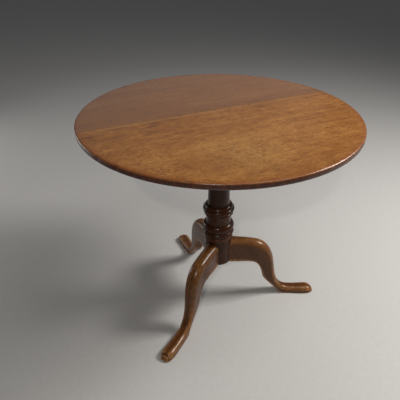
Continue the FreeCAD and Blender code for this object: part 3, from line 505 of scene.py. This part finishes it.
def rim_profile():
    """Radius, level and wear weight from the middle of the upper face round to the underside."""
    flat = TOP_RADIUS - UPPER_ROUND
    line = [(flat * step / FACE_RINGS, TOP_LEVEL, 0.0) for step in range(1, FACE_RINGS + 1)]
    for step in range(1, ROUND_STEPS + 1):
        angle = math.pi / 2 * step / ROUND_STEPS
        line.append((flat + UPPER_ROUND * math.sin(angle),
                     TOP_LEVEL - UPPER_ROUND * (1 - math.cos(angle)), 1.0))
    for step in range(1, 4):
        share = step / 4
        line.append((TOP_RADIUS, TOP_LEVEL - UPPER_ROUND
                     - share * (TOP_LEVEL - TOP_UNDER - UPPER_ROUND - LOWER_ROUND), 0.7))
    low_flat = TOP_RADIUS - LOWER_ROUND
    for step in range(ROUND_STEPS + 1):
        angle = math.pi / 2 * step / ROUND_STEPS
        line.append((low_flat + LOWER_ROUND * math.cos(angle),
                     TOP_UNDER + LOWER_ROUND * (1 - math.sin(angle)), 0.5))
    line.extend((low_flat * step / UNDERSIDE_RINGS, TOP_UNDER, 0.0)
                for step in range(UNDERSIDE_RINGS - 1, 0, -1))
    return line


def worn_disc():
    """The whole round top as one mesh, with a gently uneven face and knocks along the rim."""
    bm = bmesh.new()
    rings = []
    for radius, level, wear in rim_profile():
        ring = []
        for step in range(RIM_STEPS):
            angle = math.tau * step / RIM_STEPS
            reach, height = radius, level
            spot = Vector((radius * math.cos(angle), radius * math.sin(angle), level))
            if level > TOP_UNDER + LOWER_ROUND:
                dip = 0.5 + 0.5 * noise.noise(spot * DIP_SCALE)
                height -= FACE_DIP * dip * min(1.0, (TOP_RADIUS - radius) / DIP_FADE + 0.2)
            if wear:
                rub = 0.5 + 0.5 * noise.noise(spot * RUB_SCALE)
                reach -= RIM_RUB * rub * wear
                for at, width, depth in DENTS:
                    apart = (angle - at + math.pi) % math.tau - math.pi
                    apart *= TOP_RADIUS
                    if abs(apart) < width:
                        fall = depth * wear * (0.5 + 0.5 * math.cos(math.pi * apart / width))
                        reach -= fall * 0.7
                        if wear == 1.0:
                            height -= fall * 0.5
            ring.append(bm.verts.new((reach * math.cos(angle), reach * math.sin(angle), height)))
        rings.append(ring)
    bridge_rings(bm, rings)
    return bm


def board_mesh(name, side):
    """The front (-1) or rear (+1) board, cut from the disc, with eased corners at the joint."""
    bm = worn_disc()
    normal = (0, -side, 0)
    for reach in JOINT_CUTS:
        everything = bm.verts[:] + bm.edges[:] + bm.faces[:]
        bmesh.ops.bisect_plane(bm, geom=everything, dist=ON_PLANE, plane_no=normal,
                               plane_co=(0, JOINT_Y + side * reach, 0))
    everything = bm.verts[:] + bm.edges[:] + bm.faces[:]
    cut = bmesh.ops.bisect_plane(bm, geom=everything, dist=ON_PLANE, plane_co=(0, JOINT_Y, 0),
                                 plane_no=normal, clear_outer=True)
    seam = [item for item in cut["geom_cut"] if isinstance(item, bmesh.types.BMEdge)]
    bmesh.ops.edgeloop_fill(bm, edges=seam)
    for vert in bm.verts:
        if abs(vert.co.y - JOINT_Y) < TINY:
            if vert.co.z > TOP_LEVEL - 2 * MM:
                vert.co.z -= JOINT_EASE
            elif vert.co.z < TOP_UNDER + 0.1 * MM:
                vert.co.z += UNDERSIDE_EASE
    mesh = finish_mesh(bm, name)
    store_relief(mesh, 1)
    return mesh


def add_board(name, side, material, node):
    """A board with its polished wood above and its dry wood underneath."""
    obj = add_piece(name, board_mesh(name, side), "top", material, [node])
    obj.data.materials.append(underside_wood)
    for face in obj.data.polygons:
        if face.normal.z < FACING_DOWN and face.center.z < TOP_UNDER + DRY_DEPTH:
            face.material_index = 1


add_board("front_board", -1, front_wood, "top_board_front")
add_board("rear_board", 1, rear_wood, "top_board_rear")

# ---------------------------------------------------------------- turned column
COLUMN_STEPS = 144
COLUMN_SHARP = 60
# Wear in mm, uneven round the column and in rings along it.
WEAR_ROUND = 0.10
WEAR_ALONG = 0.05
# Spacing in mm of the points on the profile's arcs and straight lines.
ARC_SPACING = 1.6
LINE_SPACING = 9
# Corners of the profile that turn by more than the angle are cut back by the ease, in mm.
COLUMN_EASE = 0.9
EASED_TURN = math.radians(22)
# Radius and level in mm; a third number is the radius of the arc that leads to the point,
# convex if above 0 and hollow if below.
COLUMN_PROFILE = (
    (47.0, 167.0), (49.0, 169.0), (49.0, 268.0), (51.0, 268.0), (51.0, 284.5), (49.0, 284.5),
    (49.0, 287.0), (51.0, 287.0), (51.0, 302.5, 10.0), (50.0, 302.5), (50.0, 307.5),
    (51.0, 307.5), (45.0, 334.0, 17.5), (43.8, 334.0), (43.8, 337.0), (47.0, 369.0, -90.0),
    (49.0, 369.0), (49.0, 377.0, 4.8), (48.8, 377.0), (48.8, 379.5), (50.5, 379.5),
    (49.0, 396.0, 9.6), (41.5, 407.0, 14.0), (38.8, 407.0), (38.8, 410.0),
    (37.4, 417.0, -14.0), (31.5, 626.0), (32.5, 626.0), (32.5, 637.0, 6.0), (32.0, 637.0),
    (32.0, 639.0), (44.0, 660.0, -30.0), (44.0, 669.2), (23.0, 669.2), (23.0, 708.3),
)


def arc_points(start, end, radius, steps):
    """Points after start up to end on an arc; a radius above 0 bulges away from the axis."""
    start, end = Vector(start), Vector(end)
    chord = end - start
    outward = Vector((chord.y, -chord.x)).normalized()
    if radius < 0:
        outward = -outward
    radius = abs(radius)
    centre = (start + end) / 2 - outward * math.sqrt(max(radius ** 2 - (chord.length / 2) ** 2, 0))
    first = math.atan2(*(start - centre).yx)
    sweep = math.atan2(*(end - centre).yx) - first
    sweep = (sweep + math.pi) % math.tau - math.pi
    return [centre + radius * Vector((math.cos(first + sweep * k / steps),
                                      math.sin(first + sweep * k / steps)))
            for k in range(1, steps + 1)]


def eased_profile(corners, ease):
    """The profile as a polyline, with every sharp corner eased by a short curve."""
    line = [Vector(corners[0][:2])]
    for corner in corners[1:]:
        base, point = line[-1], Vector(corner[:2])
        gap = (point - base).length
        if len(corner) == 3:
            line.extend(arc_points(base, point, corner[2], max(8, int(gap / ARC_SPACING))))
        else:
            steps = max(1, int(gap / LINE_SPACING))
            line.extend(base.lerp(point, k / steps) for k in range(1, steps + 1))
    eased = [line[0]]
    for before, point, after in zip(line, line[1:], line[2:]):
        back, ahead = before - point, after - point
        turn = math.pi - back.angle(ahead)
        if turn > EASED_TURN:
            cut = min(ease, back.length * 0.45, ahead.length * 0.45)
            enter = point + back.normalized() * cut
            leave = point + ahead.normalized() * cut
            for share in (0.0, 0.33, 0.67, 1.0):
                eased.append(enter.lerp(point, share).lerp(point.lerp(leave, share), share))
        else:
            eased.append(point)
    eased.append(line[-1])
    return eased


def column_mesh():
    """The turned column, slightly worn."""
    bm = bmesh.new()
    rings = []
    for radius, level in eased_profile(COLUMN_PROFILE, COLUMN_EASE):
        ring = []
        for step in range(COLUMN_STEPS):
            angle = math.tau * step / COLUMN_STEPS
            spot = Vector((math.cos(angle), math.sin(angle), level * 0.02))
            reach = radius - WEAR_ROUND * (0.5 + 0.5 * noise.noise(spot * 1.7))
            reach -= WEAR_ALONG * (0.5 + 0.5 * noise.noise(Vector((0, 0, level * 1.1))))
            ring.append(bm.verts.new((reach * MM * math.cos(angle), reach * MM * math.sin(angle),
                                      level * MM)))
        rings.append(ring)
    bridge_rings(bm, rings)
    mesh = finish_mesh(bm, "turned_column", COLUMN_SHARP)
    store_relief(mesh, 1)
    return mesh


add_piece("turned_column", column_mesh(), "pedestal", column_wood, ["column"])

# ---------------------------------------------------------------- carved legs
# Upper edge reach and level, lower edge reach and level, width, upper and lower rounding, mm.
LEG_STATIONS = (
    (30, 256, 30, 163, 48, 18, 3), (78, 254, 78, 163, 47, 20, 3),
    (115, 251, 112, 163, 47, 22, 5), (154, 242, 139, 156, 47, 22, 7),
    (184, 217, 155, 135, 46, 21, 10), (202, 180, 165, 109, 44, 20, 12),
    (210, 139, 170, 86, 41, 18, 12), (216, 100, 181, 66, 38, 15, 12),
    (225, 65, 200, 46, 36, 12, 10), (239, 41, 222, 23, 36, 11, 9),
    (261, 28, 251, -5, 38, 13, 8), (298, 25, 300, -6, 42, 15, 7),
    (334, 26, 338, -6, 45, 16, 8), (352, 24, 360, -3, 40, 13, 9),
    (361, 18, 371, 2, 27, 8, 5),
)
LEG_AZIMUTHS = {"rear": 89.0, "left": 215.0, "right": 334.0}
DRUM_RADIUS = 49.0
LEG_SHARP = 42
# In mm: distances from the drum of the leg's first sections, the length over which its scribed
# end turns into a flat section, and the spacing of the sections beyond.
DRUM_GAPS = (-2.0, 0.1, 1.6, 4.0, 7.0, 11.0, 16.0, 22.0)
SCRIBED_LENGTH = 12
SECTION_SPACING = 4
# Scale of the last section and its push outwards in mm, ring by ring round the toe.
TOE_ROUNDING = ((1.0, 0.0), (0.9, 1.4), (0.74, 2.4), (0.5, 3.1), (0.25, 3.5))
# Housing of the brace, in mm: a little larger than the brace, and open below.
HOUSING_HUB = 38.4
HOUSING_ARM_HALF = 13.4
HOUSING_ARM_REACH = 96
HOUSING_START = 150.0
HOUSING_ROOM = 0.05
BRACE_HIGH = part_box("leg_brace_plate")[1].z


def station_at(place):
    """The leg's section between two stations, on a smooth curve through all of them."""
    index = min(max(int(place), 0), len(LEG_STATIONS) - 2)
    share = place - index
    four = [LEG_STATIONS[min(max(index + k, 0), len(LEG_STATIONS) - 1)] for k in (-1, 0, 1, 2)]
    section = []
    for a, b, c, d in zip(*four):
        section.append(0.5 * (2 * b + (c - a) * share + (2 * a - 5 * b + 4 * c - d) * share ** 2
                              + (3 * b - a - 3 * c + d) * share ** 3))
    return section


def section_outline(half_width, half_depth, upper_round, lower_round):
    """Closed outline across a leg: (across, up) from the middle of the top, going round."""
    upper = min(upper_round, half_width - 1.0, half_depth * 1.2)
    lower = min(lower_round, half_width - 1.0, 2 * half_depth - upper - 0.5)
    half = [((half_width - upper) * k / 3, half_depth) for k in range(3)]
    for k in range(9):
        angle = math.pi / 2 * (1 - k / 8)
        half.append((half_width - upper + upper * math.cos(angle),
                     half_depth - upper + upper * math.sin(angle)))
    top, bottom = half_depth - upper, lower - half_depth
    half.extend((half_width, top + (bottom - top) * k / 6) for k in range(1, 6))
    for k in range(7):
        angle = -math.pi / 2 * k / 6
        half.append((half_width - lower + lower * math.cos(angle),
                     lower - half_depth + lower * math.sin(angle)))
    half.extend(((half_width - lower) * (1 - k / 3), -half_depth) for k in range(1, 3))
    mirrored = [(-across, up) for across, up in reversed(half[1:])]
    return half + [(0.0, -half_depth)] + mirrored


def leg_points(section, shrink=1.0, push=0.0):
    """Outline points of one section in leg coordinates (along, across, up), in mm."""
    upper_reach, upper_level, lower_reach, lower_level, width, upper_round, lower_round = section
    middle = Vector(((upper_reach + lower_reach) / 2, 0, (upper_level + lower_level) / 2))
    rise = Vector((upper_reach - lower_reach, 0, upper_level - lower_level))
    depth = rise.length / 2
    rise.normalize()
    ahead = Vector((rise.z, 0, -rise.x))
    points = []
    for across, up in section_outline(width / 2, depth, upper_round, lower_round):
        point = middle + rise * up * shrink + ahead * push + Vector((0, across * shrink, 0))
        point.z = max(point.z, 0.0)
        points.append(point)
    return points


def strip_cap(bm, ring):
    """Close a ring that is symmetric about its first vertex with flat strips from side to side."""
    for i in range(len(ring) // 2):
        corners = dict.fromkeys((ring[-i], ring[-i - 1], ring[i + 1], ring[i]))
        bm.faces.new(list(corners))


def leg_bmesh():
    """One carved leg along +X, scribed to the drum."""
    bm = bmesh.new()
    rings = []
    first, second = LEG_STATIONS[0][0], LEG_STATIONS[1][0]
    for gap in DRUM_GAPS:
        section = station_at((DRUM_RADIUS + gap - first) / (second - first))
        blend = min(max(gap / SCRIBED_LENGTH, 0.0), 1.0)
        blend = blend * blend * (3 - 2 * blend)
        ring = []
        for point in leg_points(section):
            scribed = math.sqrt(DRUM_RADIUS ** 2 - point.y ** 2) + gap
            point.x = scribed * (1 - blend) + (DRUM_RADIUS + gap) * blend
            ring.append(point)
        rings.append(ring)
    for index in range(1, len(LEG_STATIONS) - 1):
        here, there = LEG_STATIONS[index], LEG_STATIONS[index + 1]
        span = math.dist([(here[0] + here[2]) / 2, (here[1] + here[3]) / 2],
                         [(there[0] + there[2]) / 2, (there[1] + there[3]) / 2])
        steps = max(3, int(span / SECTION_SPACING))
        rings.extend(leg_points(station_at(index + k / steps)) for k in range(steps))
    for shrink, push in TOE_ROUNDING:
        rings.append(leg_points(LEG_STATIONS[-1], shrink, push))
    skin = [[bm.verts.new(point * MM) for point in ring] for ring in rings]
    bridge_rings(bm, skin, close_ends=False)
    strip_cap(bm, skin[0])
    bm.faces.new(skin[-1])
    return bm


def brace_cutter():
    """The shape of the brace's hub and one arm, grown a little, for its housing in a leg."""
    bm = bmesh.new()
    outline = []
    start = math.asin(HOUSING_ARM_HALF / HOUSING_HUB)
    for k in range(25):
        angle = start + (math.tau - 2 * start) * k / 24
        outline.append((HOUSING_HUB * math.cos(angle), HOUSING_HUB * math.sin(angle)))
    for k in range(17):
        angle = -math.pi / 2 + math.pi * k / 16
        outline.append((HOUSING_ARM_REACH + HOUSING_ARM_HALF * math.cos(angle),
                        HOUSING_ARM_HALF * math.sin(angle)))
    rings = []
    for level in (HOUSING_START, BRACE_HIGH / MM + HOUSING_ROOM):
        rings.append([bm.verts.new((x * MM, y * MM, level * MM)) for x, y in outline])
    bridge_rings(bm, rings)
    bmesh.ops.recalc_face_normals(bm, faces=bm.faces)
    mesh = bpy.data.meshes.new("brace_cutter")
    bm.to_mesh(mesh)
    bm.free()
    obj = bpy.data.objects.new("brace_cutter", mesh)
    bpy.context.scene.collection.objects.link(obj)
    return obj


def leg_mesh():
    """The leg with its housing for the brace cut out."""
    whole = finish_mesh(leg_bmesh(), "leg_whole")
    obj = bpy.data.objects.new("leg_whole", whole)
    bpy.context.scene.collection.objects.link(obj)
    cutter = brace_cutter()
    modifier = obj.modifiers.new("housing", "BOOLEAN")
    modifier.operation = "DIFFERENCE"
    modifier.object = cutter
    modifier.solver = "EXACT"
    bpy.context.view_layer.update()
    result = bpy.data.meshes.new_from_object(
        obj.evaluated_get(bpy.context.evaluated_depsgraph_get()))
    for used in (obj, cutter):
        bpy.data.objects.remove(used)
    bm = bmesh.new()
    bm.from_mesh(result)
    bpy.data.meshes.remove(result)
    mesh = finish_mesh(bm, "carved_leg", LEG_SHARP)
    store_relief(mesh, 3)
    return mesh


whole_leg = leg_mesh()
for leg_name, azimuth in LEG_AZIMUTHS.items():
    add_piece("carved_leg_" + leg_name, whole_leg.copy(), "pedestal", leg_wood,
              ["leg_" + leg_name], Matrix.Rotation(math.radians(azimuth), 4, "Z"))

# ---------------------------------------------------------------- block, bearers and metalwork
# Node, name, rounding of the edges in mm, material, slot and body.
SOFTENED = (
    ("pivot_block", "eased_pivot_block", 1.2, block_wood, "block_wood", "pedestal"),
    ("tenon_wedge", "eased_tenon_wedge", 0.3, wedge_wood, "wedge_wood", "pedestal"),
    ("leg_brace_plate", "forged_leg_brace", 0.6, iron, "brace_iron", "pedestal"),
    ("brace_screws", "worn_brace_screws", 0.2, screw_steel, "screw_steel", "pedestal"),
    ("keeper_plate", "eased_keeper_plate", 0.3, brass, "catch_brass", "pedestal"),
    ("keeper_screws", "worn_keeper_screws", 0.12, brass, "brass_screw", "pedestal"),
    ("bearer_left", "eased_bearer_left", 1.4, bearer_wood, "bearer_wood", "top"),
    ("bearer_screws_left", "worn_bearer_screws_left", 0.2, screw_steel, "screw_steel", "top"),
    ("bearer_right", "eased_bearer_right", 1.4, bearer_wood, "bearer_wood", "top"),
    ("bearer_screws_right", "worn_bearer_screws_right", 0.2, screw_steel, "screw_steel", "top"),
    ("catch_plate", "eased_catch_plate", 0.3, brass, "catch_brass", "top"),
    ("catch_case", "eased_catch_case", 0.5, brass, "catch_brass", "top"),
    ("catch_screws", "worn_catch_screws", 0.12, brass, "brass_screw", "top"),
    ("catch_bolt", "eased_catch_bolt", 0.3, brass, "catch_brass", "bolt"),
    ("catch_knob", "eased_catch_knob", 0.0, brass, "catch_brass", "bolt"),
)
for node, piece, rounding, material, slot, body in SOFTENED:
    softened(node, piece, rounding * MM, material, body)

# The spring shortens by the bolt's travel and a little more, which keeps it off the bolt.
spring = softened("catch_spring", "coiled_catch_spring", 0.0, spring_steel, "top")
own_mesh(spring)


# ---------------------------------------------------------------- floor, lights and camera
FLOOR_HALF = 25


def pale_floor():
    """A plain pale floor with a faint cloudiness."""
    shade = Shade("pale_floor")
    grain = shade.noise(shade.coords, 60.0, 4.0, 0.6)
    colour = shade.blend(shade.fit(grain, 0.3, 0.7), (0.50, 0.497, 0.49, 1),
                         (0.53, 0.527, 0.52, 1))
    material = shade.set(Base_Color=colour, Roughness=0.6)
    mesh = bpy.data.meshes.new("studio_floor")
    corners = [(x * FLOOR_HALF, y * FLOOR_HALF, 0) for x, y in ((-1, -1), (1, -1), (1, 1), (-1, 1))]
    mesh.from_pydata(corners, [], [(0, 1, 2, 3)])
    mesh.materials.append(material)
    obj = bpy.data.objects.new("studio_floor", mesh)
    bpy.context.scene.collection.objects.link(obj)


def soft_light(name, place, target, size, power, colour):
    """A rectangular lamp of the given sides in metres and power in watts, aimed at a point."""
    data = bpy.data.lights.new(name, "AREA")
    data.shape = "RECTANGLE"
    data.size, data.size_y = size
    data.energy = power
    data.color = colour
    obj = bpy.data.objects.new(name, data)
    bpy.context.scene.collection.objects.link(obj)
    obj.location = place
    obj.rotation_euler = (Vector(target) - Vector(place)).to_track_quat("-Z", "Y").to_euler()


HEADING = math.radians(27.53)
CAMERA_PLACE = (-0.5648, -1.0667, 1.1853)
CAMERA_DIP = math.radians(31.37)
CAMERA_ROLL = math.radians(0.89)
CAMERA_LENS = 37.8
CAMERA_SHIFT = (-0.04175, -0.02075)
ROOM_LIGHT = (0.79, 0.80, 0.82, 1)
ROOM_STRENGTH = 0.11
FORWARD = Vector((math.sin(HEADING), math.cos(HEADING), 0))
RIGHT = Vector((math.cos(HEADING), -math.sin(HEADING), 0))


def studio_spot(right, forward, up):
    """A place given by how far it is to the right, ahead and up as the camera sees the table."""
    return RIGHT * right + FORWARD * forward + Vector((0, 0, up))


pale_floor()
soft_light("key", studio_spot(0.9, -0.6, 2.9), (0, 0, 0.5), (0.8, 0.8), 11, (1.0, 0.96, 0.9))
soft_light("window", studio_spot(1.9, 0.3, 2.0), (0, 0, 0.4), (0.7, 0.9), 62, (1.0, 0.96, 0.91))
soft_light("lamp", studio_spot(-0.2, -2.2, 2.12), (0, 0, 0.4), (0.08, 0.08), 17,
           (1.0, 0.95, 0.88))
soft_light("side", studio_spot(-2.3, 1.0, 0.5), (0, 0, 0.45), (0.9, 0.7), 7, (1.0, 0.97, 0.94))
soft_light("wall", studio_spot(-0.4, 2.7, 1.7), (0, 0, 0.7), (3.0, 1.4), 2.0, (0.98, 0.99, 1.0))
world = bpy.data.worlds.new("studio")
world.use_nodes = True
background = world.node_tree.nodes["Background"].inputs
background["Color"].default_value = ROOM_LIGHT
background["Strength"].default_value = ROOM_STRENGTH
bpy.context.scene.world = world
bpy.context.scene.view_settings.view_transform = "Standard"

camera_data = bpy.data.cameras.new("camera")
camera_data.sensor_width = 36
camera_data.lens = CAMERA_LENS
camera_data.shift_x, camera_data.shift_y = CAMERA_SHIFT
camera_data.clip_end = 200
camera = bpy.data.objects.new("camera", camera_data)
bpy.context.scene.collection.objects.link(camera)
camera.matrix_world = (Matrix.Translation(CAMERA_PLACE)
                       @ Matrix.Rotation(-HEADING, 4, "Z")
                       @ Matrix.Rotation(math.pi / 2 - CAMERA_DIP, 4, "X")
                       @ Matrix.Rotation(CAMERA_ROLL, 4, "Z"))
bpy.context.scene.camera = camera
